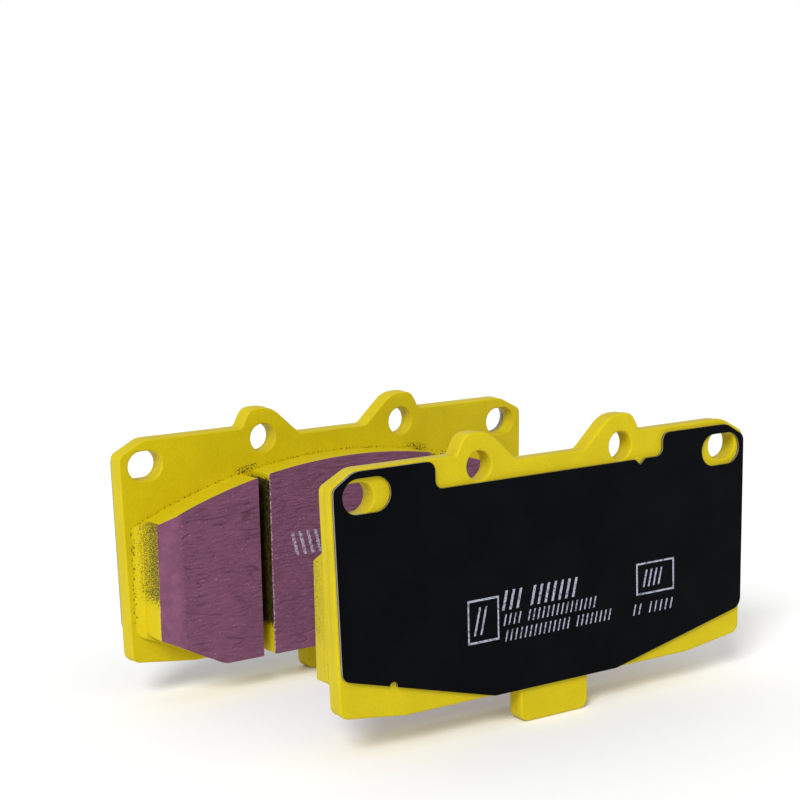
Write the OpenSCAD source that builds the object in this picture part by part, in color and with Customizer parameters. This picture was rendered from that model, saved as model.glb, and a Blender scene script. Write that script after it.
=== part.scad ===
// A pair of brake pads for a four-piston fixed caliper, standing on their bottom tabs.
// The friction faces look at each other across the space that the disc runs in.
// Millimetres, +Z up, +X along the pads' width, +Y from the front pad to the rear pad.
// The origin is the middle of the bounding box, on the surface that the tabs stand on.
// Both pads are the same part: the rear one is the front one turned half round about Z.

/* [Pair] */
// Distance between the two backing plates' rear faces
pair_span = 80; // [60:1:120]
// Sideways offset between the two pads, as they are laid out
pair_stagger = 16; // [0:1:30]

/* [Backing plate] */
// Width of the plate
plate_w = 130; // [128:0.5:132]
// Thickness of the plate
plate_t = 5; // [4:0.5:7]
// Height of the shoulders' top edge
shoulder_z = 69.3; // [68.5:0.1:70]
// Height of the plate's bottom edge, above the tab's end
bottom_z = 8.6; // [8:0.1:9]
// How much each end narrows towards the bottom
end_taper = 1.5; // [0:0.1:3]
// Width of the locating tab
tab_w = 21.4; // [18:0.2:24]
// Rise of the two pin ears over the shoulders
ear_rise = 4.9; // [4:0.1:6]
// Drop of the middle top edge below the shoulders
middle_drop = 3.05; // [2:0.05:4]

/* [Holes] */
// Diameter of the two retaining-pin holes
pin_d = 7.2; // [6.8:0.1:7.6]
// Distance between the two retaining-pin holes
pin_pitch = 44.6; // [44:0.1:45]
// Height of the obround hole in each end
slot_h = 7.3; // [6.8:0.1:7.6]
// Length of the obround hole in each end
slot_l = 9.3; // [8.6:0.1:9.6]
// Diameter of the keying holes that the underlayer fills
key_d = 9; // [6:0.5:10]

/* [Friction] */
// Thickness of the insulating underlayer
underlayer_t = 1.5; // [1:0.1:2]
// How far the underlayer's outer ends flare out on the plate
flare = 2.2; // [0.5:0.1:2.4]
// Thickness of friction material above the underlayer
friction_t = 7.4; // [7:0.1:9]
// Thickness of the bedding-in coat on the face
coat_t = 0.3; // [0.2:0.05:0.4]
// Width of friction material on the underlayer, if its left end matched its right one
friction_w = 119.6; // [118:0.2:120]
// How much further the friction material reaches at its left end
left_reach = 3.6; // [0:0.1:3.6]
// Draft of the end walls
draft = 1.2; // [0.6:0.1:1.6]
// Length of the end chamfers, along the width
chamfer_l = 6; // [4:0.2:7]
// Depth of the end chamfers
chamfer_t = 1.8; // [1.4:0.1:2.2]
// Width of the two slots between the blocks
gap_w = 3.4; // [3:0.1:4]
// Distance between the two slots
gap_pitch = 55.4; // [54:0.2:57]
// Radius of the friction material's top edge
crown_r = 150; // [120:1:180]

/* [Shim] */
// Thickness of the adhesive film
adhesive_t = 0.1; // [0.1:0.05:0.15]
// Thickness of each rubber layer
rubber_t = 0.2; // [0.15:0.05:0.25]
// Thickness of the steel core
core_t = 0.5; // [0.4:0.05:0.6]

/* [Hidden] */

// Largest turn between two neighbouring points of a rounded corner
arc_step = 10;
// Facets of a full circle
$fn = 64;

half_w = plate_w / 2;
// End chamfers of the shoulders
shoulder_run = 7.2;
shoulder_drop = 3.8;
// Height of the bottom corners above the bottom edge, and where the edge turns level
corner_rise = 2.4;
knee_x = 45.2;
// Height at which the ends start to narrow, and the radius they turn on
taper_z = 62;
taper_r = 60;

// Ears: foot of the steep outer side, and ends of the level top
ear_foot_x = 28.9;
ear_outer_x = 26.3;
ear_inner_x = 19.4;
ear_root_x = 10.6;

pin_z = shoulder_z - 3.3;
pin_x = pin_pitch / 2;
end_hole_z = shoulder_z - 6.9;
slot_x = 57.5;

// Keying holes, [x, z], under the middle of each friction block
key_holes_left = [[-44, 43], [-44, 24]];
key_holes_middle = [[-13, 47], [13, 47], [-13, 23], [13, 23]];
key_holes_right = [[44, 43], [44, 24]];

friction_half = friction_w / 2;
flare_x = friction_half + flare;
// The left end stands almost upright at the plate's edge
left_half = friction_half + left_reach;
left_flare_x = max(left_half + 0.1, flare_x);
friction_top_z = shoulder_z - 9.3;
friction_bottom_z = bottom_z + 0.5;
// Lower end corners of the friction material
friction_corner_z = 18.3;
friction_knee_x = 41;
friction_knee_r = 6;
end_corner_r = 2.2;
gap_inner = gap_pitch / 2 - gap_w / 2;
gap_outer = gap_pitch / 2 + gap_w / 2;
// Layers above the plate's rear face
underlayer_y = plate_t;
friction_y = underlayer_y + underlayer_t;
coat_y = friction_y + friction_t;
face_y = coat_y + coat_t;
chamfer_y = face_y - chamfer_t;
chamfer_x = friction_half - draft;
face_x = chamfer_x - chamfer_l;

// Shim: how far it stays inside the plate's ends, at the top and at the bottom
shim_inset = 0.6;
shim_low_inset = shim_inset + end_taper * 0.8;
// Its two shoulders, where the right one sits lower: top, run and foot
shim_left_z = shoulder_z - 0.45;
shim_left_run = shoulder_run - 0.9;
shim_left_foot_z = shoulder_z - shoulder_drop - 0.3;
shim_right_z = shoulder_z - 1.35;
shim_right_run = shoulder_run - 0.6;
shim_right_foot_z = shoulder_z - shoulder_drop - 1.1;
// The step down to the middle of its top edge
shim_step_x = 36;
shim_step_z = shoulder_z - 7.25;
shim_step_r = 2.2;
// V notch in that edge
shim_notch_x = 28.2;
shim_notch_half = 1.8;
shim_notch_depth = 1.6;
shim_notch_r = 0.5;
// Lower corners, keel and the round nick in the left lower edge
shim_left_low_z = 20.3;
shim_right_low_z = 18.3;
shim_bottom_z = bottom_z + 0.3;
shim_keel_x = 19.5;
shim_keel_r = 3;
shim_nick_x = -49.2;
shim_nick_r = 1.2;
// Windows over the plate's end holes
shim_window_l = 13.6;
shim_window_h = 8.4;
shim_window_left = [-55.3, end_hole_z + 0.6];
shim_window_right = [56.2, end_hole_z - 0.9];
shim_t = adhesive_t + 2 * rubber_t + core_t;

yellow = [0.84, 0.76, 0.07];
mauve = [0.46, 0.29, 0.40];
coat_mauve = [0.42, 0.26, 0.36];
binder = [0.30, 0.22, 0.24];
black = [0.06, 0.06, 0.07];
bright = [0.66, 0.65, 0.68];
clear = [0.75, 0.72, 0.62];

// ---- rounded outlines -------------------------------------------------------

function unit(v) = v / norm(v);
function turn(a) = a > 180 ? a - 360 : a < -180 ? a + 360 : a;
function angle_of(v) = atan2(v.y, v.x);

// Points of a corner at b, between a and c, rounded to radius r
function corner(a, b, c, r) =
    let (
        p = unit(a - b),
        q = unit(c - b),
        half = acos(p * q) / 2,
        centre = b + unit(p + q) * r / sin(half),
        from = angle_of(b + p * r / tan(half) - centre),
        sweep = turn(angle_of(b + q * r / tan(half) - centre) - from),
        steps = ceil(abs(sweep) / arc_step)
    )
    [for (i = [0:steps]) centre + r * [cos(from + sweep * i / steps), sin(from + sweep * i / steps)]];

// Outline through [x, z, radius] corners; a radius of 0 keeps the corner sharp
function outline(corners) = [
    for (i = [0:len(corners) - 1])
        let (
            n = len(corners),
            before = corners[(i + n - 1) % n],
            here = corners[i],
            after = corners[(i + 1) % n]
        )
        each here[2] == 0
            ? [[here.x, here.y]]
            : corner([before.x, before.y], [here.x, here.y], [after.x, after.y], here[2])
];

// Raises a flat XZ outline along +Y, from y to y + t
module slab(y, t) {
    translate([0, y + t, 0]) rotate([90, 0, 0]) linear_extrude(t) children();
}

// A round hole along Y
module bore(x, z, d, y = -1, t = plate_t + 2) {
    translate([x, y, z]) rotate([-90, 0, 0]) cylinder(d = d, h = t);
}

// An obround hole along Y, longer in X
module long_bore(x, z, l, h, y, t) {
    bore(x - (l - h) / 2, z, h, y, t);
    bore(x + (l - h) / 2, z, h, y, t);
    translate([x - (l - h) / 2, y, z - h / 2]) cube([l - h, t, h]);
}

// ---- backing plate ----------------------------------------------------------

// One pin ear, walked from left to right; side is -1 for the left ear, 1 for the right
function ear(side) =
    let (
        walk = [
            [ear_foot_x, shoulder_z, 1.2],
            [ear_outer_x, shoulder_z + ear_rise, 3.5],
            [ear_inner_x, shoulder_z + ear_rise, 7.5],
            [ear_root_x, shoulder_z - middle_drop, 2],
        ]
    )
    side < 0
        ? [for (p = walk) [-p.x, p.y, p[2]]]
        : [for (i = [len(walk) - 1:-1:0]) walk[i]];

plate_outline = outline(concat(
    [
        [-half_w + end_taper, bottom_z + corner_rise, 2.6],
        [-half_w, taper_z, taper_r],
        [-half_w, shoulder_z - shoulder_drop, 2],
        [-half_w + shoulder_run, shoulder_z, 6],
    ],
    ear(-1),
    ear(1),
    [
        [half_w - shoulder_run, shoulder_z, 6],
        [half_w, shoulder_z - shoulder_drop, 2],
        [half_w, taper_z, taper_r],
        [half_w - end_taper, bottom_z + corner_rise, 2.6],
        [knee_x, bottom_z, 10],
        [tab_w / 2, bottom_z, 1],
        [tab_w / 2, 0, 2.6],
        [-tab_w / 2, 0, 2.6],
        [-tab_w / 2, bottom_z, 1],
        [-knee_x, bottom_z, 10],
    ]
));

module backing_plate() {
    color(yellow) difference() {
        slab(0, plate_t) polygon(plate_outline);
        for (side = [-1, 1]) bore(side * pin_x, pin_z, pin_d);
        for (side = [-1, 1]) long_bore(side * slot_x, end_hole_z, slot_l, slot_h, -1, plate_t + 2);
        for (p = concat(key_holes_left, key_holes_middle, key_holes_right)) bore(p.x, p.y, key_d);
    }
}

// ---- friction material ------------------------------------------------------

// Outline of the friction pack between its left and right ends, up to above its top edge
function friction_outline(left, right) = outline([
    [-left, friction_corner_z, end_corner_r],
    [-left, shoulder_z, 0],
    [right, shoulder_z, 0],
    [right, friction_corner_z, end_corner_r],
    [friction_knee_x, friction_bottom_z, friction_knee_r],
    [-friction_knee_x, friction_bottom_z, friction_knee_r],
]);

// Everything within that outline, from y to y + t, under the crowned top edge
module friction_slab(left, right, y, t) {
    intersection() {
        slab(y, t) polygon(friction_outline(left, right));
        bore(0, friction_top_z - crown_r, 2 * crown_r, y, t);
    }
}

// Stretch of the width that a block fills, at the plate
module stretch(x0, x1, y, t) {
    translate([x0, y, 0]) cube([x1 - x0, t, shoulder_z]);
}

// Side profile of the whole friction pack across its width: flared, drafted, then chamfered
module end_profile() {
    linear_extrude(shoulder_z) polygon([
        [-left_flare_x, underlayer_y],
        [flare_x, underlayer_y],
        [friction_half, friction_y],
        [chamfer_x, chamfer_y],
        [face_x, face_y],
        [-face_x - left_reach, face_y],
        [-chamfer_x - left_reach, chamfer_y],
        [-left_half, friction_y],
    ]);
}

// One layer of one block, with its share of the flare, draft or chamfer
module block_layer(left, right, x0, x1, y, t) {
    intersection() {
        friction_slab(left, right, y, t);
        stretch(x0, x1, y, t);
        end_profile();
    }
}

module underlayer(x0, x1, keys) {
    color(binder) union() {
        block_layer(left_flare_x, flare_x, x0, x1, underlayer_y, underlayer_t);
        for (p = keys) bore(p.x, p.y, key_d, 0, plate_t);
    }
}

module friction(x0, x1) {
    color(mauve) block_layer(left_half, friction_half, x0, x1, friction_y, friction_t);
}

module coat(x0, x1) {
    color(coat_mauve) block_layer(left_half, friction_half, x0, x1, coat_y, coat_t);
}

// ---- shim -------------------------------------------------------------------

shim_outline = outline([
    [-half_w + shim_low_inset, shim_left_low_z, 2.4],
    [-half_w + shim_inset, taper_z, taper_r],
    [-half_w + shim_inset, shim_left_foot_z, 2],
    [-half_w + shim_left_run, shim_left_z, 5],
    [-shim_step_x, shim_left_z, shim_step_r],
    [-shim_step_x, shim_step_z, shim_step_r],
    [shim_notch_x - shim_notch_half, shim_step_z, shim_notch_r],
    [shim_notch_x, shim_step_z - shim_notch_depth, shim_notch_r],
    [shim_notch_x + shim_notch_half, shim_step_z, shim_notch_r],
    [shim_step_x, shim_step_z, shim_step_r],
    [shim_step_x, shim_right_z, shim_step_r],
    [half_w - shim_right_run, shim_right_z, 5],
    [half_w - shim_inset, shim_right_foot_z, 2],
    [half_w - shim_inset, taper_z, taper_r],
    [half_w - shim_low_inset, shim_right_low_z, 3],
    [shim_keel_x, shim_bottom_z, shim_keel_r],
    [-shim_keel_x, shim_bottom_z, shim_keel_r],
]);

// Height of the shim's lower left edge, above the nick
shim_nick_z = shim_bottom_z
    + (shim_left_low_z - shim_bottom_z) * (-shim_nick_x - shim_keel_x)
    / (half_w - shim_low_inset - shim_keel_x);

module shim_layer(y, t) {
    difference() {
        slab(y, t) polygon(shim_outline);
        for (p = [shim_window_left, shim_window_right])
            long_bore(p.x, p.y, shim_window_l, shim_window_h, y - 1, t + 2);
        bore(shim_nick_x, shim_nick_z, 2 * shim_nick_r, y - 1, t + 2);
    }
}

module shim_adhesive() {
    color(clear) shim_layer(-adhesive_t, adhesive_t);
}

module shim_inner_rubber() {
    color(black) shim_layer(-adhesive_t - rubber_t, rubber_t);
}

module shim_core() {
    color(bright) shim_layer(-adhesive_t - rubber_t - core_t, core_t);
}

module shim_outer_rubber() {
    color(black) shim_layer(-shim_t, rubber_t);
}

// ---- one pad, and its two places ---------------------------------------------

module piece(name) {
    if (name == "backing_plate") backing_plate();
    if (name == "underlayer_left") underlayer(-left_flare_x, -gap_outer, key_holes_left);
    if (name == "underlayer_middle") underlayer(-gap_inner, gap_inner, key_holes_middle);
    if (name == "underlayer_right") underlayer(gap_outer, flare_x, key_holes_right);
    if (name == "friction_left") friction(-left_half, -gap_outer);
    if (name == "friction_middle") friction(-gap_inner, gap_inner);
    if (name == "friction_right") friction(gap_outer, friction_half);
    if (name == "coat_left") coat(-left_half, -gap_outer);
    if (name == "coat_middle") coat(-gap_inner, gap_inner);
    if (name == "coat_right") coat(gap_outer, friction_half);
    if (name == "shim_adhesive") shim_adhesive();
    if (name == "shim_inner_rubber") shim_inner_rubber();
    if (name == "shim_core") shim_core();
    if (name == "shim_outer_rubber") shim_outer_rubber();
}

module front(name) {
    translate([pair_stagger / 2, -pair_span / 2, 0]) piece(name);
}

module rear(name) {
    translate([-pair_stagger / 2, pair_span / 2, 0]) rotate([0, 0, 180]) piece(name);
}

front("backing_plate");  // front_backing_plate
front("underlayer_left");  // front_underlayer_left
front("underlayer_middle");  // front_underlayer_middle
front("underlayer_right");  // front_underlayer_right
front("friction_left");  // front_friction_left
front("friction_middle");  // front_friction_middle
front("friction_right");  // front_friction_right
front("coat_left");  // front_coat_left
front("coat_middle");  // front_coat_middle
front("coat_right");  // front_coat_right
front("shim_adhesive");  // front_shim_adhesive
front("shim_inner_rubber");  // front_shim_inner_rubber
front("shim_core");  // front_shim_core
front("shim_outer_rubber");  // front_shim_outer_rubber
rear("backing_plate");  // rear_backing_plate
rear("underlayer_left");  // rear_underlayer_left
rear("underlayer_middle");  // rear_underlayer_middle
rear("underlayer_right");  // rear_underlayer_right
rear("friction_left");  // rear_friction_left
rear("friction_middle");  // rear_friction_middle
rear("friction_right");  // rear_friction_right
rear("coat_left");  // rear_coat_left
rear("coat_middle");  // rear_coat_middle
rear("coat_right");  // rear_coat_right
rear("shim_adhesive");  // rear_shim_adhesive
rear("shim_inner_rubber");  // rear_shim_inner_rubber
rear("shim_core");  // rear_shim_core
rear("shim_outer_rubber");  // rear_shim_outer_rubber
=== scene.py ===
import math

import bmesh
import bpy
import numpy as np
from mathutils import Matrix, Vector, geometry, noise


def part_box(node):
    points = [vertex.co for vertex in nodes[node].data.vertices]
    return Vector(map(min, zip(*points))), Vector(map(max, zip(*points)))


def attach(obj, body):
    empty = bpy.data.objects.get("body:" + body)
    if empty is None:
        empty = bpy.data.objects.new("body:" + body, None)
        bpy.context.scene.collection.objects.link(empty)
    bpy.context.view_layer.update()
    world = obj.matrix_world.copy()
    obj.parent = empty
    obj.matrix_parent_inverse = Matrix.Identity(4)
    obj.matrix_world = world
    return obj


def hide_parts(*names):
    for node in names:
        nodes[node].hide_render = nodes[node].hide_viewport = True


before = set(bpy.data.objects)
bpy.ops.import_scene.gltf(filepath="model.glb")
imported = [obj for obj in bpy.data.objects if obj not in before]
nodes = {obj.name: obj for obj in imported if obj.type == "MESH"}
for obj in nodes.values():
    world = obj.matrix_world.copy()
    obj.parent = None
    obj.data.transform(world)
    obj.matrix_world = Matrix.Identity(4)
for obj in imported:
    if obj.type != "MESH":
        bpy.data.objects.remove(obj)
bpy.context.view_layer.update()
scene = bpy.context.scene
scene.view_settings.view_transform = "Standard"

MM = 0.001

# One pad in its own frame: x across, y from the plate's rear face to the disc, z up.
SPAN, STAGGER = 80.0, 16.0
PADS = {
    "front": Matrix.Translation((STAGGER / 2 * MM, -SPAN / 2 * MM, 0)),
    "rear": Matrix.Translation((-STAGGER / 2 * MM, SPAN / 2 * MM, 0)) @ Matrix.Rotation(math.pi, 4, "Z"),
}


def levels(piece):
    """A front CAD node's lowest and highest corners in its pad's frame, in millimetres."""
    return [np.array(corner - PADS["front"].translation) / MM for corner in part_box(f"front_{piece}")]


# Heights and widths of the friction pack's layers, in millimetres, from the CAD. The pack's left end
# reaches further out than its right one.
END_X, UNDER_END_X = levels("friction_right")[1][0], levels("underlayer_right")[1][0]
LEFT_END_X, LEFT_UNDER_END_X = -levels("friction_left")[0][0], -levels("underlayer_left")[0][0]
REACH = LEFT_END_X - END_X
BASE_Y, UNDER_Y = levels("backing_plate")[1][1], levels("friction_right")[0][1]
BLOCK_Y, FACE_Y = levels("coat_right")[0][1], levels("coat_right")[1][1]
COAT_END_X = levels("coat_right")[1][0]
SLOT_IN, SLOT_OUT = levels("friction_middle")[1][0], levels("friction_right")[0][0]
SLOT_X = (SLOT_IN + SLOT_OUT) / 2
LOW_Z, TOP_Z = levels("friction_middle")[0][2], levels("friction_middle")[1][2]

# The friction outline's curves and the right end's chamfer, as part.scad has them
CROWN_R = 150.0
LOW_CORNER_Z, LOW_CORNER_R, KNEE_X, KNEE_R = 18.3, 2.2, 41.0, 6.0
CHAMFER_X, CHAMFER_Y = 58.6, 12.4


# ---- materials ---------------------------------------------------------------
class Shade:
    """A small builder for one node material."""

    def __init__(self, name):
        self.mat = bpy.data.materials.new(name)
        self.mat.use_nodes = True
        self.tree = self.mat.node_tree
        self.bsdf = self.tree.nodes["Principled BSDF"]
        self.coords = self.node("ShaderNodeTexCoord").outputs["Object"]

    def node(self, kind, **values):
        made = self.tree.nodes.new(kind)
        for key, value in values.items():
            setattr(made, key, value)
        return made

    def feed(self, socket, value):
        if isinstance(value, bpy.types.NodeSocket):
            self.tree.links.new(value, socket)
        elif isinstance(value, (tuple, list)) and len(value) == 3 and socket.type == "RGBA":
            socket.default_value = (*value, 1.0)
        else:
            socket.default_value = value

    def maths(self, operation, a, b=None, c=None):
        made = self.node("ShaderNodeMath", operation=operation)
        for i, value in enumerate((a, b, c)):
            if value is not None:
                self.feed(made.inputs[i], value)
        return made.outputs[0]

    def both(self, *shares):
        """Where every share holds."""
        made = shares[0]
        for share in shares[1:]:
            made = self.maths("MULTIPLY", made, share)
        return made

    def most(self, *shares):
        """The largest share at each point."""
        made = shares[0]
        for share in shares[1:]:
            made = self.maths("MAXIMUM", made, share)
        return made

    def axes(self, vector=None):
        """A vector's x, y and z; the point's own in the pad's frame, in metres, where no vector is given."""
        split = self.node("ShaderNodeSeparateXYZ")
        self.feed(split.inputs[0], vector if vector is not None else self.coords)
        return split.outputs

    def joined(self, x, y, z):
        made = self.node("ShaderNodeCombineXYZ")
        for socket, value in zip(made.inputs, (x, y, z)):
            self.feed(socket, value)
        return made.outputs[0]

    def stretched(self, scale, turn=(0, 0, 0)):
        """The point's coordinates, turned and scaled, for drawn-out grain."""
        made = self.node("ShaderNodeMapping")
        self.feed(made.inputs["Vector"], self.coords)
        made.inputs["Scale"].default_value = scale
        made.inputs["Rotation"].default_value = turn
        return made.outputs[0]

    def grain(self, size, detail=3.0, rough=0.55, vector=None):
        """Noise with features of about size millimetres, from 0 to 1."""
        made = self.node("ShaderNodeTexNoise")
        self.feed(made.inputs["Vector"], vector if vector is not None else self.coords)
        made.inputs["Scale"].default_value = 1 / (size * MM)
        made.inputs["Detail"].default_value = detail
        made.inputs["Roughness"].default_value = rough
        return made.outputs["Fac"]

    def step(self, value, low, high, out_low=0.0, out_high=1.0):
        """A smooth rise from out_low to out_high as value goes from low to high."""
        made = self.node("ShaderNodeMapRange", interpolation_type="SMOOTHSTEP")
        self.feed(made.inputs["Value"], value)
        limits = {"From Min": low, "From Max": high, "To Min": out_low, "To Max": out_high}
        for name, number in limits.items():
            self.feed(made.inputs[name], number)
        return made.outputs[0]

    def near(self, value, middle, half, soft):
        """1 where value is within half of middle, falling to 0 over soft, all in millimetres."""
        away = self.maths("ABSOLUTE", self.maths("SUBTRACT", value, middle * MM))
        return self.step(away, half * MM, (half + soft) * MM, 1.0, 0.0)

    def mix(self, share, a, b):
        """Colour a, turning into b as share goes from 0 to 1."""
        made = self.node("ShaderNodeMix", data_type="RGBA")
        self.feed(made.inputs[0], share)
        self.feed(made.inputs[6], a)
        self.feed(made.inputs[7], b)
        return made.outputs[2]

    def bump(self, height, depth, below=None):
        """Bump whose height runs over depth millimetres."""
        made = self.node("ShaderNodeBump")
        made.inputs["Strength"].default_value = 1.0
        made.inputs["Distance"].default_value = depth * MM
        self.feed(made.inputs["Height"], height)
        if below is not None:
            self.feed(made.inputs["Normal"], below)
        return made.outputs[0]

    def attribute(self, name):
        return self.node("ShaderNodeAttribute", attribute_name=name).outputs["Fac"]

    def done(self, colour, roughness, normal=None, **plain):
        """Wires the shader; plain gives its other sockets uniform values, by name with _ for a space."""
        self.feed(self.bsdf.inputs["Base Color"], colour)
        self.feed(self.bsdf.inputs["Roughness"], roughness)
        if normal is not None:
            self.feed(self.bsdf.inputs["Normal"], normal)
        for key, value in plain.items():
            self.bsdf.inputs[key.replace("_", " ")].default_value = value
        return self.mat


# Linear colours, set to match the photo
YELLOW = (0.545, 0.435, 0.003)
YELLOW_DEEP = (0.470, 0.365, 0.002)
YELLOW_LIGHT = (0.640, 0.520, 0.010)
OLIVE = (0.060, 0.050, 0.006)
VEILED = (0.105, 0.088, 0.012)
# Near-black bare compound for speckle and pin holes; it also carries the painted shade deep in the slots
NEAR_BLACK = (0.014, 0.011, 0.003)
MAUVE = (0.180, 0.066, 0.122)
MAUVE_DARK = (0.085, 0.030, 0.056)
MAUVE_LIGHT = (0.250, 0.100, 0.175)
CHAMFER_DARK, CHAMFER_MID, CHAMFER_LIGHT = (0.160, 0.058, 0.110), (0.208, 0.078, 0.145), (0.30, 0.135, 0.22)
CHIP, SPECK = (0.50, 0.36, 0.44), (0.38, 0.20, 0.30)
PRINT = (0.46, 0.48, 0.60)
WHITE = (0.96, 0.96, 0.96)

# Paint on the friction pack: heights, in millimetres up the pad, between which the ends' spray thins out and
# between which the pin holes start, and how dark the slots are, as bare compound and painted shade, on the
# blocks and on the layers below
THIN_FROM, THIN_TO = 23.0, 30.0
PITS_FROM, PITS_TO = 20.0, 24.0
BLOCK_SLOT, LOWER_SLOT = 2.4, 1.9

# Print: pitches of the dots, in millimetres, and the width of a box's border
FACE_DOTS, SHIM_DOTS, BORDER = 0.42, 0.36, 0.5
# Slanted strokes lean over by this much of their height. Rows of them, in millimetres across and up the
# pad: left, right, low, high, pitch, stroke width; then the share that is drawn, and a seed
LEAN = 0.25
SHIM_STROKES = [
    (-17.0, 9.8, 29.7, 34.6, 2.2, 0.75, 0.90, 3),
    (-16.6, 14.7, 25.9, 28.7, 1.5, 0.42, 0.90, 11),
    (-16.2, 19.1, 21.9, 24.7, 1.5, 0.42, 0.88, 29),
    (25.2, 40.8, 21.6, 24.4, 1.8, 0.45, 0.85, 41),
    (-25.6, -19.2, 24.8, 31.7, 1.9, 0.55, 1.10, 0),
    (28.6, 37.2, 28.6, 33.0, 1.7, 0.55, 1.10, 0),
]
FACE_STROKES = [(-18.4, 21.6, 34.9, 41.2, 2.4, 0.95, 0.95, 21)]
# Boxes round some of them: left, right, low, high
SHIM_BOXES = [(-27.4, -17.9, 22.8, 33.7), (26.4, 39.4, 26.6, 35.0)]


def powder_colour(s):
    """Yellow powder coat: broad drifts of tone under a fine grain."""
    broad = s.mix(s.step(s.grain(9.0), 0.35, 0.65), YELLOW_DEEP, YELLOW)
    drift = s.mix(0.55, broad, YELLOW)
    light = s.mix(s.step(s.grain(0.32, 2.0), 0.45, 0.80, 0.0, 0.40), drift, YELLOW_LIGHT)
    turned = s.stretched((1, 1, 1), (0.5, 0.3, 0.9))
    return s.mix(s.step(s.grain(0.5, 2.0, 0.5, turned), 0.50, 0.76, 0.0, 0.75), light, YELLOW_DEEP)


def fewer_left(s, x):
    """The left end's wall is sprayed more fully than the right end's."""
    return s.step(x, -10 * MM, 10 * MM, 0.68, 1.0)


def length(s, a, b):
    """The length of a flat vector."""
    return s.maths("SQRT", s.maths("ADD", s.maths("POWER", a, 2.0), s.maths("POWER", b, 2.0)))


# Used to darken the slots, most away from their open ends: bare compound and painted shade
def slot_depth(s, x, z):
    """How far inside a slot a point is, away from the slot's two open ends, from 0 to 1."""
    in_slot = s.near(s.maths("ABSOLUTE", x), SLOT_X, 1.9, 0.15)
    up = s.step(z, (LOW_Z + 3.5) * MM, (LOW_Z + 15) * MM)
    down = s.step(z, (TOP_Z - 7.0) * MM, (TOP_Z - 2.0) * MM, 1.0, 0.0)
    return s.both(in_slot, up, down)


def past(s, x, right, left):
    """How far beyond the pack's right or left end a point is; the ends lie right and left millimetres out."""
    beyond_right = s.maths("SUBTRACT", x, right * MM)
    return s.most(beyond_right, s.maths("SUBTRACT", s.maths("MULTIPLY", x, -1.0), left * MM))


def foot_pits(s, x, z):
    """Pin holes in the paint along the foot of the friction pack, more of them at the slots' ends."""
    from_middle = s.maths("SUBTRACT", z, (TOP_Z - CROWN_R) * MM)
    radius = length(s, x, from_middle)
    side = s.maths("ABSOLUTE", x)
    out = s.most(s.maths("SUBTRACT", radius, CROWN_R * MM), past(s, x, UNDER_END_X, LEFT_UNDER_END_X))
    by_slot = s.near(side, SLOT_X, 2.4, 1.6)
    line = s.near(out, 0.25, 0.22, 0.12)
    patch = s.both(s.near(out, 0.7, 0.6, 0.6), by_slot)
    pits = s.grain(0.55, 1.0)
    few = s.both(line, s.step(pits, 0.575, 0.62))
    many = s.both(patch, s.step(pits, 0.50, 0.56))
    return s.both(s.most(few, many), s.step(z, PITS_FROM * MM, PITS_TO * MM))


def speckled(s, amount, paint, size=0.34, thin=0.0):
    """Overspray over bare compound, and where it is bare. amount: the share left bare; thin: how far a
    veil of spray lightens it."""
    drops = s.grain(size, 1.5, 0.6)
    edge = s.maths("SUBTRACT", 0.86, s.maths("MULTIPLY", amount, 0.52))
    bare = s.step(s.maths("SUBTRACT", drops, edge), -0.04, 0.04)
    dark = s.mix(thin, s.mix(s.step(s.grain(0.8), 0.35, 0.65), NEAR_BLACK, OLIVE), VEILED)
    return s.mix(bare, paint, dark), bare


def dots(s, across, up, pitch):
    """Printed dots on a square pitch in millimetres, with ragged rims."""

    def from_middle(value):
        return s.maths("SUBTRACT", s.maths("FRACT", s.maths("DIVIDE", value, pitch * MM)), 0.5)

    off = length(s, from_middle(across), from_middle(up))
    ragged = s.maths("ADD", off, s.step(s.grain(0.25, 1.0), 0.3, 0.7, -0.10, 0.10))
    return s.step(ragged, 0.42, 0.60, 1.0, 0.0)


def within(s, value, low, high):
    """1 between two limits in millimetres, and 0 elsewhere."""
    return s.both(s.maths("GREATER_THAN", value, low * MM), s.maths("LESS_THAN", value, high * MM))


def strokes(s, across, up, rows):
    """Plain slanted strokes, in rows as FACE_STROKES and SHIM_STROKES list them. Only whole ones show."""
    shown = 0.0
    for left, right, low, high, pitch, width, share, seed in rows:
        leaned = s.maths("SUBTRACT", across, s.maths("MULTIPLY", up, LEAN))
        place = s.maths("DIVIDE", s.maths("SUBTRACT", leaned, (left - LEAN * low) * MM), pitch * MM)
        count = math.floor((right - left - LEAN * (high - low)) / pitch)
        in_row = s.both(s.maths("GREATER_THAN", place, 0.0), s.maths("LESS_THAN", place, float(count)))
        draw = s.node("ShaderNodeTexWhiteNoise", noise_dimensions="1D")
        s.feed(draw.inputs["W"], s.maths("ADD", s.maths("FLOOR", place), float(seed)))
        on = s.maths("LESS_THAN", draw.outputs["Value"], share)
        thin = s.maths("LESS_THAN", s.maths("FRACT", place), width / pitch)
        shown = s.most(shown, s.both(in_row, within(s, up, low, high), on, thin))
    return shown


def borders(s, across, up, boxes):
    """Outlines of plain boxes, listed as in SHIM_BOXES."""

    def box(left, right, low, high, inset):
        return s.both(
            within(s, across, left + inset, right - inset), within(s, up, low + inset, high - inset)
        )

    shown = 0.0
    for sides in boxes:
        shown = s.most(shown, s.maths("SUBTRACT", box(*sides, 0.0), box(*sides, BORDER)))
    return shown


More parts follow.
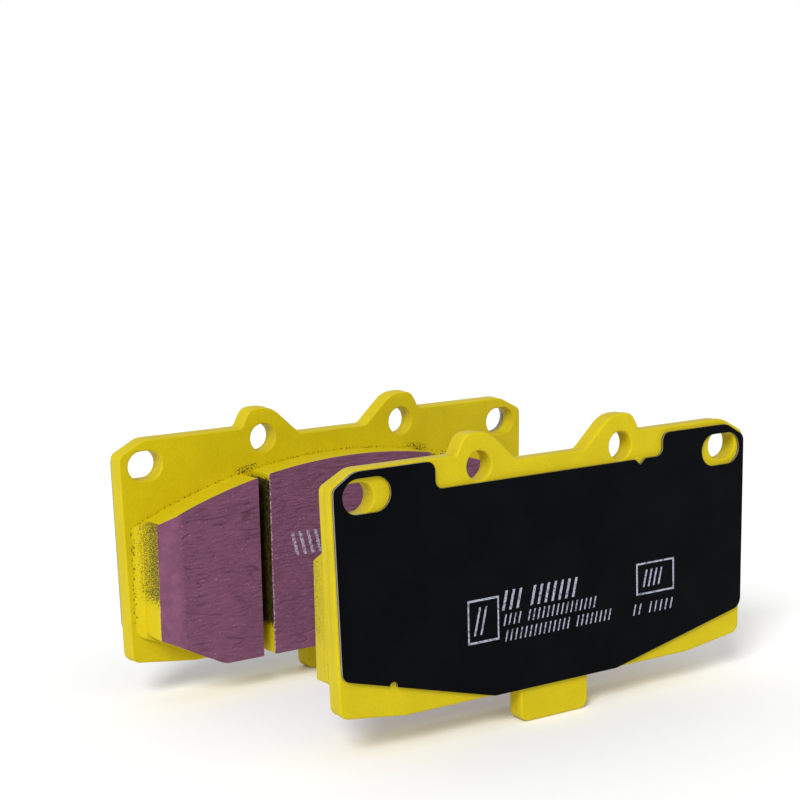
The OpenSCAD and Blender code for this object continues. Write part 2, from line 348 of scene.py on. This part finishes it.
def friction_face():
    """The bedding-in coat: long torn ridges, small crinkles and a row of printed strokes, with painted
    highlight on the ridges' crests and painted shade in their troughs, the crinkles' hollows and the grooves.
    """
    s = Shade("bedding_coat")
    x, y, z = s.axes()
    depth = s.attribute("depth")
    sway = s.step(s.grain(9.0, 1.0), 0.0, 1.0, -1.2 * MM, 1.2 * MM)
    bent = s.joined(x, y, s.maths("ADD", z, sway))
    drawn_out = s.node("ShaderNodeVectorMath", operation="MULTIPLY")
    s.feed(drawn_out.inputs[0], bent)
    drawn_out.inputs[1].default_value = (0.20, 1.0, 1.0)
    ridges = s.grain(0.75, 2.0, 0.5, drawn_out.outputs[0])
    crinkle = s.grain(0.5, 3.0, 0.6, s.stretched((0.6, 1, 1.0)))
    tone = s.mix(s.step(s.grain(6.0, 2.0), 0.3, 0.7, 0.0, 0.25), MAUVE, MAUVE_DARK)
    # Painted highlight on the ridges' crests and painted shade in their troughs
    tone = s.mix(s.step(ridges, 0.52, 0.70, 0.0, 0.28), tone, MAUVE_LIGHT)
    tone = s.mix(s.step(ridges, 0.30, 0.44, 0.30, 0.0), tone, MAUVE_DARK)
    # Painted shade in the crinkles' hollows
    tone = s.mix(s.step(crinkle, 0.25, 0.46, 0.30, 0.0), tone, MAUVE_DARK)
    # Painted shade in the grooves and the scar, darker the deeper they are cut
    tone = s.mix(s.step(depth, 0.30, 0.95, 0.0, 0.70), tone, MAUVE_DARK)
    by_slot = s.near(s.maths("ABSOLUTE", x), SLOT_IN, 0.16, 0.12)
    chipped = s.both(by_slot, s.step(s.grain(0.7, 1.0), 0.47, 0.55))
    tone = s.mix(s.maths("MULTIPLY", chipped, 0.7), tone, CHIP)
    speck = s.step(s.grain(0.40, 0.0), 0.775, 0.81)
    tone = s.mix(s.maths("MULTIPLY", speck, 0.6), tone, SPECK)
    worn = s.step(s.grain(0.7, 2.0), 0.36, 0.55, 0.15, 0.85)
    printed = s.both(strokes(s, x, z, FACE_STROKES), dots(s, x, z, FACE_DOTS))
    tone = s.mix(s.maths("MULTIPLY", printed, worn), tone, PRINT)
    fine = s.bump(s.grain(0.30, 4.0, 0.65), 0.10)
    normal = s.bump(ridges, 0.42, s.bump(crinkle, 0.10, fine))
    return s.done(tone, s.step(crinkle, 0.3, 0.7, 0.66, 0.88), normal, Specular_IOR_Level=0.25)


def block_walls():
    """A block's walls, oversprayed more thinly on the ends, dark in the slots as bare compound and painted
    shade, and its bare chamfer.
    """
    s = Shade("sprayed_friction")
    x, y, z = s.axes()
    normal = s.axes(s.node("ShaderNodeTexCoord").outputs["Normal"])
    upward = s.step(normal[2], 0.45, 0.7)
    end_wall = s.step(past(s, x, CHAMFER_X, CHAMFER_X + REACH), -0.8 * MM, -0.3 * MM)
    outward = s.step(y, UNDER_Y * MM, 12.0 * MM, 0.66, 0.86)
    grade = s.both(s.step(z, THIN_FROM * MM, THIN_TO * MM), outward)
    # The slots grow darker away from their open ends: bare compound and painted shade
    amount = s.most(
        s.both(end_wall, grade, fewer_left(s, x)), s.maths("MULTIPLY", upward, 0.10),
        s.maths("MULTIPLY", slot_depth(s, x, z), BLOCK_SLOT), 0.16,
    )
    walls, bare = speckled(s, amount, powder_colour(s), 0.24, end_wall)
    broad = s.mix(s.step(s.grain(3.0, 3.0), 0.35, 0.7), CHAMFER_DARK, CHAMFER_MID)
    chamfer = s.mix(s.step(s.grain(0.5, 3.0), 0.55, 0.8, 0.0, 0.30), broad, CHAMFER_LIGHT)
    ragged = s.step(s.grain(0.8), 0.3, 0.7, -0.12, 0.12)
    lip = s.step(s.maths("ADD", normal[1], ragged), 0.55, 0.75)
    colour = s.mix(lip, walls, chamfer)
    coarse = s.bump(s.grain(0.45, 3.0, 0.6), 0.07)
    pitted = s.bump(s.maths("SUBTRACT", 1.0, bare), 0.03, coarse)
    return s.done(colour, s.step(normal[1], 0.62, 0.78, 0.55, 0.72), pitted, Specular_IOR_Level=0.18)


def painted_binder():
    """The underlayer's flared band, painted over."""
    s = Shade("painted_underlayer")
    x, y, z = s.axes()
    end = s.step(past(s, x, END_X, LEFT_END_X), -0.6 * MM, 0.4 * MM)
    outward = s.step(y, 5.3 * MM, UNDER_Y * MM, 0.30, 0.66)
    sprayed = s.both(end, fewer_left(s, x), s.step(z, THIN_FROM * MM, THIN_TO * MM), outward)
    # In the slots it grows darker away from their open ends: bare compound and painted shade
    amount = s.most(s.maths("MULTIPLY", slot_depth(s, x, z), LOWER_SLOT), sprayed, 0.08)
    walls, _ = speckled(s, amount, powder_colour(s), 0.24, end)
    near_foot = s.step(y, (BASE_Y + 0.15) * MM, (BASE_Y + 0.4) * MM, 1.0, 0.0)
    pits = s.step(s.grain(0.55, 1.0), 0.57, 0.62)
    holes = s.both(near_foot, pits, s.step(z, PITS_FROM * MM, PITS_TO * MM))
    colour = s.mix(s.maths("MULTIPLY", holes, 0.8), walls, NEAR_BLACK)
    peel = s.bump(s.grain(0.7, 2.0), 0.05)
    return s.done(colour, 0.5, peel, Specular_IOR_Level=0.12)


def powder_coat():
    """The plate's paint, dark in the slots of the friction pack as bare compound and painted shade, and
    pitted along its foot.
    """
    s = Shade("powder_coat")
    x, y, z = s.axes()
    colour = powder_colour(s)
    pit = s.step(s.grain(0.35, 1.0), 0.70, 0.76)
    colour = s.mix(s.maths("MULTIPLY", pit, 0.35), colour, YELLOW_DEEP)
    front_side = s.step(y, (BASE_Y - 0.5) * MM, (BASE_Y - 0.1) * MM)
    # Painted shade, with bare compound, deep in the slots
    shade = s.maths("MULTIPLY", s.both(slot_depth(s, x, z), front_side), LOWER_SLOT)
    colour, _ = speckled(s, s.most(shade, 0.02), colour)
    colour = s.mix(s.maths("MULTIPLY", s.both(foot_pits(s, x, z), front_side), 0.85), colour, NEAR_BLACK)
    peel = s.bump(s.grain(0.9, 2.0), 0.05)
    fine = s.bump(s.grain(0.30, 2.0), 0.035, peel)
    rough = s.step(s.grain(1.5), 0.3, 0.7, 0.38, 0.50)
    return s.done(colour, rough, fine, Specular_IOR_Level=0.12)


def printed_rubber():
    """Outer rubber coat, with plain bars and dashes in dots; the two pads face opposite ways."""
    s = Shade("shim_outer_rubber")
    x, y, z = s.axes()
    facing = s.maths("MULTIPLY", s.maths("SIGN", y), -1.0)
    across = s.maths("SUBTRACT", s.maths("MULTIPLY", x, facing), STAGGER / 2 * MM)
    drawn = s.most(strokes(s, across, z, SHIM_STROKES), borders(s, across, z, SHIM_BOXES))
    printed = s.both(drawn, dots(s, across, z, SHIM_DOTS))
    worn = s.step(s.grain(0.8, 2.0), 0.33, 0.5, 0.35, 0.95)
    tone = s.mix(s.step(s.grain(12.0), 0.35, 0.65), (0.0012, 0.0015, 0.0023), (0.0021, 0.0024, 0.0034))
    tone = s.mix(s.maths("MULTIPLY", printed, worn), tone, PRINT)
    normal = s.bump(s.grain(0.25, 3.0), 0.006)
    return s.done(tone, s.step(s.grain(4.0), 0.3, 0.7, 0.46, 0.52), normal, Specular_IOR_Level=0.03)


def plain_rubber():
    """The shim's inner rubber coat, between its core and the adhesive."""
    s = Shade("shim_inner_rubber")
    tone = s.mix(s.step(s.grain(3.0), 0.35, 0.65), (0.003, 0.003, 0.004), (0.008, 0.008, 0.009))
    return s.done(tone, 0.6, s.bump(s.grain(0.25, 3.0), 0.01), Specular_IOR_Level=0.1)


def steel():
    """The shim's core, seen at its sheared edge."""
    s = Shade("shim_steel")
    sheared = s.grain(0.5, 3.0, 0.6, s.stretched((1, 6, 1)))
    tone = s.mix(sheared, (0.20, 0.20, 0.22), (0.50, 0.50, 0.53))
    return s.done(tone, s.step(sheared, 0.3, 0.7, 0.25, 0.45), s.bump(sheared, 0.02), Metallic=0.9)


def adhesive():
    """The film that holds the shim on the plate."""
    s = Shade("shim_adhesive")
    tone = s.mix(s.step(s.grain(1.2), 0.35, 0.65), (0.50, 0.42, 0.16), (0.62, 0.54, 0.25))
    return s.done(tone, 0.3, s.bump(s.grain(0.8), 0.02))


FACE, WALLS, BAND, POWDER = friction_face(), block_walls(), painted_binder(), powder_coat()


# ---- meshes ------------------------------------------------------------------
def add_piece(pad, name, mesh, materials, replaced=(), normals=None):
    """Makes a piece from a mesh in the pad's own frame, in metres, and rides it on the pad."""
    data = bpy.data.meshes.new(f"{pad}_{name}")
    data.from_pydata(*mesh)
    data.update()
    for material in materials:
        data.materials.append(material)
    data.shade_smooth()
    if normals is not None:
        data.normals_split_custom_set_from_vertices(normals)
    piece = bpy.data.objects.new(f"{pad}_{name}", data)
    scene.collection.objects.link(piece)
    piece.matrix_world = PADS[pad]
    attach(piece, f"{pad}_pad")
    if replaced:
        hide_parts(*[f"{pad}_{node}" for node in replaced])
    return piece


def area(loop):
    """An outline's signed area: positive where it runs anticlockwise."""
    x, z = loop.T
    return 0.5 * np.sum(x * np.roll(z, -1) - np.roll(x, -1) * z)


EDGE_STEP = 2.0


def flat_outlines(pad, node, y):
    """Outlines (x, z) of a CAD node's flat face at height y, the outer one first, in millimetres and with
    each edge split into steps of about EDGE_STEP."""
    mesh = bmesh.new()
    mesh.from_mesh(nodes[f"{pad}_{node}"].data)
    bmesh.ops.transform(mesh, matrix=PADS[pad].inverted(), verts=mesh.verts)
    bmesh.ops.remove_doubles(mesh, verts=mesh.verts, dist=1e-6)
    flat = {f for f in mesh.faces if all(abs(v.co.y - y * MM) < 1e-6 for v in f.verts)}
    follow = {}
    for f in flat:
        for loop in f.loops:
            if not any(other in flat for other in loop.edge.link_faces if other is not f):
                follow[loop.vert] = loop.link_loop_next.vert
    loops = []
    while follow:
        start, here = follow.popitem()
        walk = [start]
        while here is not start:
            walk.append(here)
            here = follow.pop(here)
        loops.append(np.array([(v.co.x / MM, v.co.z / MM) for v in walk]))
    mesh.free()
    loops.sort(key=lambda loop: -abs(area(loop)))
    made = []
    for i, loop in enumerate(loops):
        if (area(loop) > 0) != (i == 0):
            loop = loop[::-1]
        points = []
        for p, q in zip(loop, np.roll(loop, -1, 0)):
            parts = max(1, round(np.hypot(*(q - p)) / EDGE_STEP))
            points += [p + (q - p) * t / parts for t in range(parts)]
        made.append(np.array(points))
    return made


def inward(loop):
    """Directions from each point of an outline into the material: of unit length, and as long as keeps
    both edges at a corner inset alike."""
    ahead = np.roll(loop, -1, 0) - loop
    ahead /= np.hypot(*ahead.T)[:, None]
    left = np.stack([-ahead[:, 1], ahead[:, 0]], -1)
    both = left + np.roll(left, 1, 0)
    unit = both / np.hypot(*both.T)[:, None]
    return unit, unit / np.maximum((unit * left).sum(1), 0.5)[:, None]


def inside(points, loop):
    """Which points lie inside a closed outline."""
    x, z = points[:, :1], points[:, 1:]
    (x0, z0), (x1, z1) = loop.T, np.roll(loop, -1, 0).T
    crosses = ((z0 > z) != (z1 > z)) & (x < (x1 - x0) * (z - z0) / np.where(z1 == z0, 1, z1 - z0) + x0)
    return crosses.sum(1) % 2 == 1


def blanked(loops, profile):
    """A flat piece with shaped edges. profile: (inset, y) from its rear face round to its front face."""
    profile = np.array(profile)
    steps = np.diff(profile, axis=0)
    slope = np.stack([steps[:, 1], steps[:, 0]], -1) / np.hypot(*steps.T)[:, None]
    tilt = np.concatenate([[(0, -1)], slope[:-1] + slope[1:], [(0, 1)]])
    tilt /= np.hypot(*tilt.T)[:, None]
    points, normals, faces, rims = [], [], [], ([], [])
    for loop in loops:
        unit, reach = inward(loop)
        n, base = len(loop), sum(len(p) for p in points)
        for (inset, y), (out, up) in zip(profile, tilt):
            ring = loop + reach * inset
            points.append(np.stack([ring[:, 0], np.full(n, y), ring[:, 1]], -1))
            normals.append(np.stack([-unit[:, 0] * out, np.full(n, up), -unit[:, 1] * out], -1))
        for level in range(len(profile) - 1):
            a = base + level * n + np.arange(n)
            b = base + level * n + (np.arange(n) + 1) % n
            faces.append(np.stack([a, a + n, b + n, b], -1))
        rims[0].append(base + np.arange(n))
        rims[1].append(base + (len(profile) - 1) * n + np.arange(n))
    points, normals = np.concatenate(points), np.concatenate(normals)
    faces = [tuple(f) for f in np.concatenate(faces).tolist()]
    for rim, facing in zip(rims, (-1, 1)):
        index = np.concatenate(rim)
        flat = points[index][:, [0, 2]]
        edges, start = [], 0
        for ring in rim:
            edges += [(start + i, start + (i + 1) % len(ring)) for i in range(len(ring))]
            start += len(ring)
        made = geometry.delaunay_2d_cdt([Vector(p) for p in flat], edges, [], 0, 1e-5)
        where, triangles, origin = np.array([tuple(v) for v in made[0]]), np.array(made[2]), made[3]
        middle = where[triangles].mean(1)
        keep = inside(middle, points[rim[0]][:, [0, 2]])
        for ring in rim[1:]:
            keep &= ~inside(middle, points[ring][:, [0, 2]])
        for triangle in triangles[keep]:
            corner = [int(index[origin[i][0]]) for i in triangle]
            p, q, r = points[corner][:, [0, 2]]
            turn = (q[0] - p[0]) * (r[1] - p[1]) - (q[1] - p[1]) * (r[0] - p[0])
            # With x to the right and z up, +y points away from the viewer
            faces.append(tuple(corner if (turn > 0) == (facing < 0) else corner[::-1]))
    return points, faces, normals


def arc(inset, y, r, start, end, count):
    """Profile points round a quarter of radius r about (inset, y), between two angles in degrees."""
    return [
        (inset - r * math.cos(math.radians(t)), y + r * math.sin(math.radians(t)))
        for t in np.linspace(start, end, count)
    ]


# ---- plates ------------------------------------------------------------------
# A blanked plate's edge: rolled over at the rear, sheared, then torn a little deeper to the front.
PLATE_R, PLATE_FRONT_R, TORN = 0.6, 0.5, 0.14
PLATE_EDGE = (
    arc(PLATE_R, PLATE_R, PLATE_R, -90, 0, 6)
    + [(0.0, 1.7), (0.03, 2.0), (TORN, 2.3), (TORN + 0.02, 3.2)]
    + arc(TORN + PLATE_FRONT_R, BASE_Y - PLATE_FRONT_R, PLATE_FRONT_R, 0, 90, 6)
)
for pad in PADS:
    loops = flat_outlines(pad, "backing_plate", 0.0)
    points, faces, normals = blanked(loops, PLATE_EDGE)
    mesh = ((points * MM).tolist(), [], faces)
    add_piece(pad, "plate", mesh, [POWDER], ["backing_plate"], normals.tolist())


# The keying holes, under the friction pack, are the round holes wider than the pin holes; both plates' are
# alike in the pad's own frame
KEY_WIDTH = 8.5


def is_key(loop):
    width, height = np.ptp(loop, axis=0)
    return abs(width - height) < 0.1 and width > KEY_WIDTH


KEYS = [loop for loop in loops[1:] if is_key(loop)]


# ---- friction pack -----------------------------------------------------------
# Each block's side, and how far out its slot wall is
BLOCKS = {"left": (-1, SLOT_OUT), "middle": (0, SLOT_IN), "right": (1, SLOT_OUT)}


def rounded(corners):
    """Points along a line whose inner corners, (x, z, radius), are rounded."""
    points = [corners[0][:2]]
    for before, here, after in zip(corners, corners[1:], corners[2:]):
        b = np.array(here[:2])
        p, q = (np.array(before[:2]) - b), (np.array(after[:2]) - b)
        p, q = p / np.hypot(*p), q / np.hypot(*q)
        half = math.acos(np.dot(p, q)) / 2
        reach = here[2] / math.tan(half)
        middle = b + (p + q) / np.hypot(*(p + q)) * here[2] / math.sin(half)
        for t in np.linspace(0, 1, 9):
            arm = (1 - t) * (b + p * reach) + t * (b + q * reach) - middle
            points.append(tuple(middle + arm / np.hypot(*arm) * here[2]))
    return np.array(points + [corners[-1][:2]])


def lower_line(end):
    """The outline's lower edge from the middle out to an end: flat, up from the knee, round the corner."""
    knee, corner = (KNEE_X, LOW_Z, KNEE_R), (end, LOW_CORNER_Z, LOW_CORNER_R)
    return rounded([(0, LOW_Z, 0), knee, corner, (end, TOP_Z, 0)])[:-1]


LOW_EDGES = {end: lower_line(end) for end in (END_X, UNDER_END_X, LEFT_END_X, LEFT_UNDER_END_X)}


def low_edge(x, end):
    line = LOW_EDGES[end]
    return np.interp(np.abs(x), line[:, 0], line[:, 1])


def crown(x):
    """The outline's upper edge."""
    return TOP_Z - CROWN_R + np.sqrt(CROWN_R**2 - x**2)


def lines(length, step, r):
    """Grid lines along a side: even inside, close together on the rounded ends."""
    ends = r * np.array([0.0, 0.3, 0.65])
    inner = np.linspace(r, length - r, max(2, round((length - 2 * r) / step) + 1))
    return np.concatenate([ends, inner, length - ends[::-1]])


def shell(sizes, steps, r):
    """A box of quads with rounded edges but a sharp base: points from 0 to 1 along each side, and faces."""
    grids = [lines(size, step, r) for size, step in zip(sizes, steps)]
    n = [len(g) for g in grids]
    ijk = np.stack(np.meshgrid(*[np.arange(m) for m in n], indexing="ij"), -1)
    outside = ((ijk == 0) | (ijk == np.array(n) - 1)).any(-1)
    number = np.full(n, -1)
    number[outside] = np.arange(outside.sum())
    where = ijk[outside]
    points = np.stack([grids[axis][where[:, axis]] for axis in range(3)], -1)
    low, high = np.array([r, 0.0, r]), np.array(sizes) - r
    inner = np.clip(points, low, high)
    arm = points - inner
    far = np.linalg.norm(arm, axis=1, keepdims=True)
    points = inner + np.where(far > 1e-9, arm / np.maximum(far, 1e-9) * r, 0)
    points[where[:, 1] == 0, 1] = 0
    faces = []
    for axis in range(3):
        for side in (0, n[axis] - 1):
            sheet = np.take(number, side, axis=axis)
            quads = np.stack([sheet[:-1, :-1], sheet[1:, :-1], sheet[1:, 1:], sheet[:-1, 1:]], -1)
            quads = quads.reshape(-1, 4)
            flip = (side == 0) == (axis != 1)
            faces.append(quads[:, ::-1] if flip else quads)
    return points / np.array(sizes), np.concatenate(faces)


def block_points(share, side, inner_x, ends, base_y, tops, end):
    """Maps box shares onto one block. ends: its outer x at the base and at the top; tops: height by |x|;
    end: which of LOW_EDGES it follows."""
    a, b, c = share.T
    if side:
        along = a if side > 0 else 1 - a
        x = side * (inner_x + (ends[0] + (ends[1] - ends[0]) * b - inner_x) * along)
        at_top = inner_x + (ends[1] - inner_x) * along
    else:
        x = inner_x * (2 * a - 1)
        at_top = np.abs(x)
    y = base_y + b * (np.interp(at_top, *tops) - base_y)
    z = low_edge(x, end) + c * (crown(x) - low_edge(x, end))
    return np.stack([x, y, z], -1)


def wave(points, size, offset):
    """Gradient noise at each point, from about -1 to 1, with features of size millimetres."""
    return np.array([noise.noise(Vector(p) / size + Vector((offset, 7.3 * offset, 0))) for p in points])


def layer(pad, name, block, ends, base_y, tops, end, *, steps, r, material, cad, rough=None, extra=()):
    """One layer of one block, as block_points shapes it. steps: its grid, in millimetres along x, y and z;
    r: its edges' radius; cad: the CAD node that it stands for; rough(points, share, side): moves its points
    and may give their depth; extra: points and faces joined to it."""
    side, inner_x = BLOCKS[block]
    width = (ends[0] - inner_x) if side else 2 * inner_x
    share, faces = shell((width, np.max(tops[1]) - base_y, TOP_Z - LOW_Z), steps, r)
    points = block_points(share, side, inner_x, ends, base_y, tops, end)
    depth = rough(points, share, side) if rough else None
    faces = faces.tolist()
    for more, its_faces in extra:
        faces += [[i + len(points) for i in face] for face in its_faces]
        points = np.concatenate([points, more])
    made = add_piece(pad, name, ((points * MM).tolist(), [], faces), [material], [cad])
    if depth is not None:
        stored = made.data.attributes.new("depth", "FLOAT", "POINT")
        stored.data.foreach_set("value", depth.astype(np.float32))


PLUG_OVERLAP = 0.4


def plug(loop):
    """Friction material moulded into one keying hole, from the plate's rear face into the underlayer."""
    n = len(loop)
    heights = (0.0, BASE_Y + PLUG_OVERLAP)
    low, high = (np.stack([loop[:, 0], np.full(n, y), loop[:, 1]], -1) for y in heights)
    ring = np.arange(n)
    after = (ring + 1) % n
    walls = np.stack([ring, ring + n, after + n, after], -1).tolist()
    return np.concatenate([low, high]), walls + [ring.tolist(), (ring[::-1] + n).tolist()]


def wall_roughness(points, share, side):
    """Pressed walls: a shallow waviness, pushed into the block from above and below."""
    edge = np.abs(share[:, 2] - 0.5) > 0.49
    rise = 0.06 + 0.05 * wave(points, 1.6, 3.0) + 0.03 * wave(points, 0.7, 5.0)
    points[:, 2] -= np.where(share[:, 2] > 0.5, 1, -1) * rise * edge


# The coat's surface, in millimetres: how deep its grooves are; two sets of them, by the noise's feature
# size, a groove's width within it, a shift of the seed and a weight; how much narrower the coat's top is
# than its foot; how far in its ragged outer end reaches; and the round scar on the rear pad's right block,
# by x, z and radius
GROOVE_DEPTH = 0.20
GROOVES = ((1.9, 0.065, 1.0, 1.0), (1.1, 0.085, 2.0, 0.6))
COAT_TAPER, RAGGED_REACH = 1.0, 4.0
SCAR = (48.7, 40.3, 5.0)


def face_roughness(seed, scarred, coat_end):
    """Torn, wavy grooves along the coat's width, cut down from its face, and a ragged outer end."""

    def cut(points, share, side):
        up = np.clip((points[:, 1] - BLOCK_Y) / (FACE_Y - BLOCK_Y), 0, 1)
        flat = np.stack([points[:, 0], np.zeros(len(points)), points[:, 2]], -1)
        bend = wave(flat, 12.0, seed)
        long = np.stack([flat[:, 0] / 6.0, flat[:, 1], flat[:, 2] + 0.9 * bend], -1)
        groove = np.zeros(len(points))
        for size, width, shift, weight in GROOVES:
            value = wave(long, size, seed + shift)
            fade = np.clip(0.55 + 1.5 * wave(flat, 5.0, seed + 10 * shift), 0, 1)
            groove = np.maximum(groove, weight * fade * np.exp(-((value / width) ** 2)))
        crumb = 0.5 + 0.8 * wave(flat, 0.75, seed + 3)
        depth = np.clip(0.90 * groove + 0.20 * crumb, 0, 1.2)
        if side:
            ragged = 0.35 + 0.45 * wave(flat, 3.2, seed + 4) + 0.25 * wave(flat, 0.9, seed + 5)
            outer = np.clip((np.abs(points[:, 0]) - (coat_end - RAGGED_REACH)) / RAGGED_REACH, 0, 1)
            points[:, 0] -= side * np.clip(ragged, 0, 0.9) * outer
        if scarred:
            x, z, r = SCAR
            far = np.hypot(points[:, 0] - x, points[:, 2] - z) - r
            on = (points[:, 0] > x + 1.5) * np.exp(-((far / 0.25) ** 2))
            depth = np.maximum(depth, on)
        depth *= up**4
        points[:, 1] -= GROOVE_DEPTH * depth
        return depth

    return cut


# The layers' grids, in millimetres along x, y and z
UNDER_GRID, BLOCK_GRID, COAT_GRID = (0.6, 0.4, 0.6), (0.6, 0.6, 0.6), (0.45, 0.2, 0.22)


def level(y):
    """A height by |x|, as block_points takes it, that is the same all over."""
    return (0, 99), (y, y)


for seed, pad in enumerate(PADS):
    for turn, block in enumerate(BLOCKS):
        side, inner_x = BLOCKS[block]
        plugs = [
            plug(loop) for loop in KEYS
            if (side * loop[:, 0].mean() > inner_x if side else abs(loop[:, 0].mean()) < inner_x)
        ]
        more = REACH if side < 0 else 0.0
        end, chamfer_x, coat_end = END_X + more, CHAMFER_X + more, COAT_END_X + more
        under_end = LEFT_UNDER_END_X if side < 0 else UNDER_END_X
        layer(
            pad, f"underlayer_{block}", block, (under_end, end), BASE_Y, level(UNDER_Y), under_end,
            steps=UNDER_GRID, r=0.12, material=BAND, cad=f"underlayer_{block}",
            extra=plugs,
        )
        sloped = ((0, coat_end, chamfer_x), (BLOCK_Y, BLOCK_Y, CHAMFER_Y))
        layer(
            pad, f"block_{block}", block, (end, chamfer_x), UNDER_Y, sloped, end,
            steps=BLOCK_GRID, r=0.22, material=WALLS, cad=f"friction_{block}",
            rough=wall_roughness,
        )
        cut = face_roughness(40.0 * seed + 10.0 * turn, pad == "rear" and side > 0, coat_end)
        layer(
            pad, f"face_{block}", block, (coat_end, coat_end - COAT_TAPER), BLOCK_Y, level(FACE_Y), end,
            steps=COAT_GRID, r=0.11, material=FACE, cad=f"coat_{block}", rough=cut,
        )


# ---- shims -------------------------------------------------------------------
SHIM = {
    "shim_outer_rubber": printed_rubber(), "shim_core": steel(), "shim_inner_rubber": plain_rubber(),
    "shim_adhesive": adhesive(),
}
for pad in PADS:
    for node, material in SHIM.items():
        held = nodes[f"{pad}_{node}"]
        held.data.materials.clear()
        held.data.materials.append(material)


# ---- stage -------------------------------------------------------------------
# Half the floor's side, in metres: far enough for the floor to meet the sky unseen
FLOOR_HALF = 30.0

# Light from the sky all round, and from one broad lamp on the left: strengths, and its spread in degrees
SKY, SUN, SUN_SPREAD = 0.68, 2.4, 22.0
SUN_FROM = (-0.62, -0.52, 0.59)

# Camera: where it stands, in metres, which way it looks, in degrees, and its lens, in millimetres
CAMERA_AT = (-0.2794, -0.3947, 0.1417)
CAMERA_HEADING, CAMERA_TILT, CAMERA_ROLL = 34.36, -7.64, -1.36
CAMERA_LENS = 84.27


def stage():
    """A wide white floor under the tabs."""
    floor = bpy.data.meshes.new("floor")
    far = FLOOR_HALF
    corners = [(-far, -far, 0), (far, -far, 0), (far, far, 0), (-far, far, 0)]
    floor.from_pydata(corners, [], [(0, 1, 2, 3)])
    piece = bpy.data.objects.new("floor", floor)
    scene.collection.objects.link(piece)
    s = Shade("floor")
    floor.materials.append(s.done(WHITE, 0.7, Specular_IOR_Level=0.2))


def light():
    """A sky all round, and one broad lamp."""
    world = bpy.data.worlds.new("world")
    scene.world = world
    world.use_nodes = True
    tree = world.node_tree
    back = tree.nodes["Background"]
    back.inputs["Color"].default_value = (1.0, 1.0, 1.0, 1.0)
    # The sky lights the pads at SKY, and shows to the camera as plain white
    strength = tree.nodes.new("ShaderNodeMath")
    strength.operation = "MULTIPLY_ADD"
    strength.inputs[1].default_value, strength.inputs[2].default_value = 1 - SKY, SKY
    tree.links.new(tree.nodes.new("ShaderNodeLightPath").outputs["Is Camera Ray"], strength.inputs[0])
    tree.links.new(strength.outputs[0], back.inputs["Strength"])
    data = bpy.data.lights.new("sun", "SUN")
    data.energy, data.angle = SUN, math.radians(SUN_SPREAD)
    lamp = bpy.data.objects.new("sun", data)
    scene.collection.objects.link(lamp)
    lamp.rotation_euler = (-Vector(SUN_FROM)).to_track_quat("-Z", "Y").to_euler()


def camera():
    """The photo's view."""
    data = bpy.data.cameras.new("camera")
    data.sensor_width, data.lens = 36.0, CAMERA_LENS
    data.clip_start, data.clip_end = 0.01, 100.0
    eye = bpy.data.objects.new("camera", data)
    scene.collection.objects.link(eye)
    turn = (
        Matrix.Rotation(math.radians(-CAMERA_HEADING), 4, "Z")
        @ Matrix.Rotation(math.radians(90 + CAMERA_TILT), 4, "X")
        @ Matrix.Rotation(math.radians(CAMERA_ROLL), 4, "Z")
    )
    eye.matrix_world = Matrix.Translation(CAMERA_AT) @ turn
    scene.camera = eye


stage()
light()
camera()
